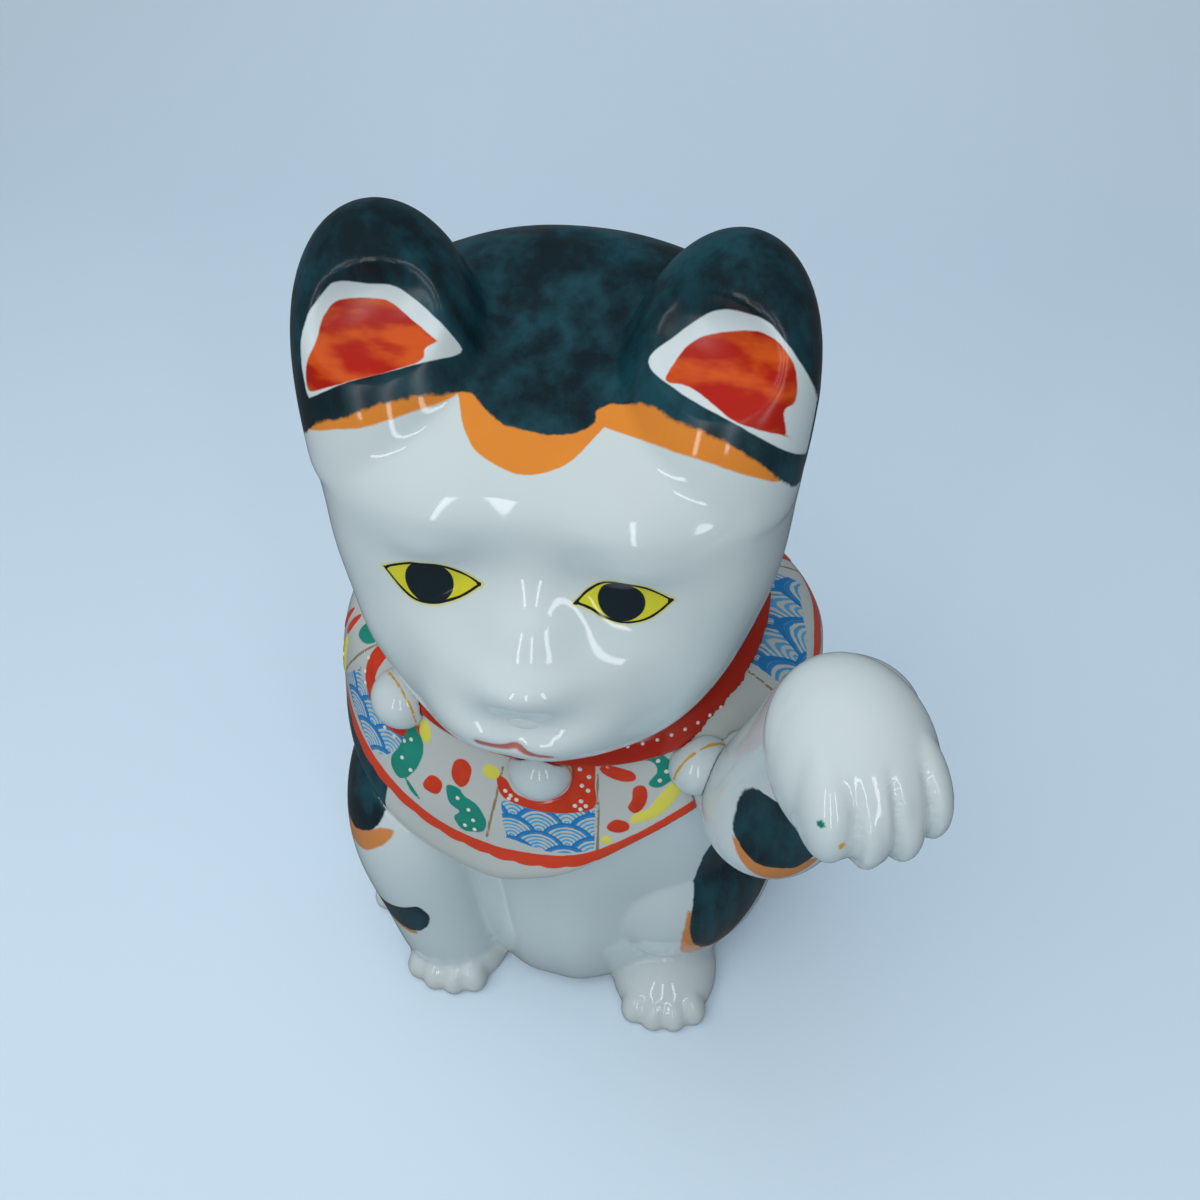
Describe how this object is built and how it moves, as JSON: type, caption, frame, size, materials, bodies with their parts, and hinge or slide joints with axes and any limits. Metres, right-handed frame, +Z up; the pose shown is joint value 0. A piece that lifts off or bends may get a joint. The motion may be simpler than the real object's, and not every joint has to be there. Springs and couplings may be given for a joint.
{
  "type": "beckoning cat figurine",
  "caption": "Glazed porcelain cat, seated, with one foreleg raised to beckon, a patched coat, and a bib with a collar and moulded bells; rests on its flat base",
  "frame": {"origin": "middle of the flat base, on the surface it stands on", "axes": "+Z up, -Y the way the cat faces, +X to the cat's left, the side of the raised foreleg"},
  "size_m": [0.1855, 0.1931, 0.285],
  "materials": {
    "porcelain_body": "clear gloss glaze over white porcelain",
    "porcelain_head": "clear gloss glaze over white porcelain, dark cap brushed on",
    "porcelain_ear_left": "dark green-black overglaze colour, glossy",
    "porcelain_ear_right": "dark green-black overglaze colour, glossy",
    "porcelain_foreleg_raised": "clear gloss glaze over white porcelain",
    "porcelain_foreleg_standing": "clear gloss glaze over white porcelain",
    "porcelain_hind_foot_left": "clear gloss glaze over white porcelain",
    "porcelain_hind_foot_right": "clear gloss glaze over white porcelain",
    "porcelain_tail": "dark green-black overglaze colour, glossy",
    "enamel_bib": "white glaze with raised enamel painting",
    "enamel_collar": "iron-red enamel with raised dots",
    "gilt_bell_middle": "white glaze with worn gilding",
    "gilt_bell_left": "white glaze with worn gilding",
    "gilt_bell_right": "white glaze with worn gilding"
  },
  "bodies": {
    "root": {"torso": "porcelain_body", "head": "porcelain_head", "ear_left": "porcelain_ear_left", "ear_right": "porcelain_ear_right", "foreleg_raised": "porcelain_foreleg_raised", "foreleg_standing": "porcelain_foreleg_standing", "hind_foot_left": "porcelain_hind_foot_left", "hind_foot_right": "porcelain_hind_foot_right", "tail": "porcelain_tail", "bib": "enamel_bib", "collar": "enamel_collar", "bell_middle": "gilt_bell_middle", "bell_left": "gilt_bell_left", "bell_right": "gilt_bell_right"}
  },
  "joints": []
}
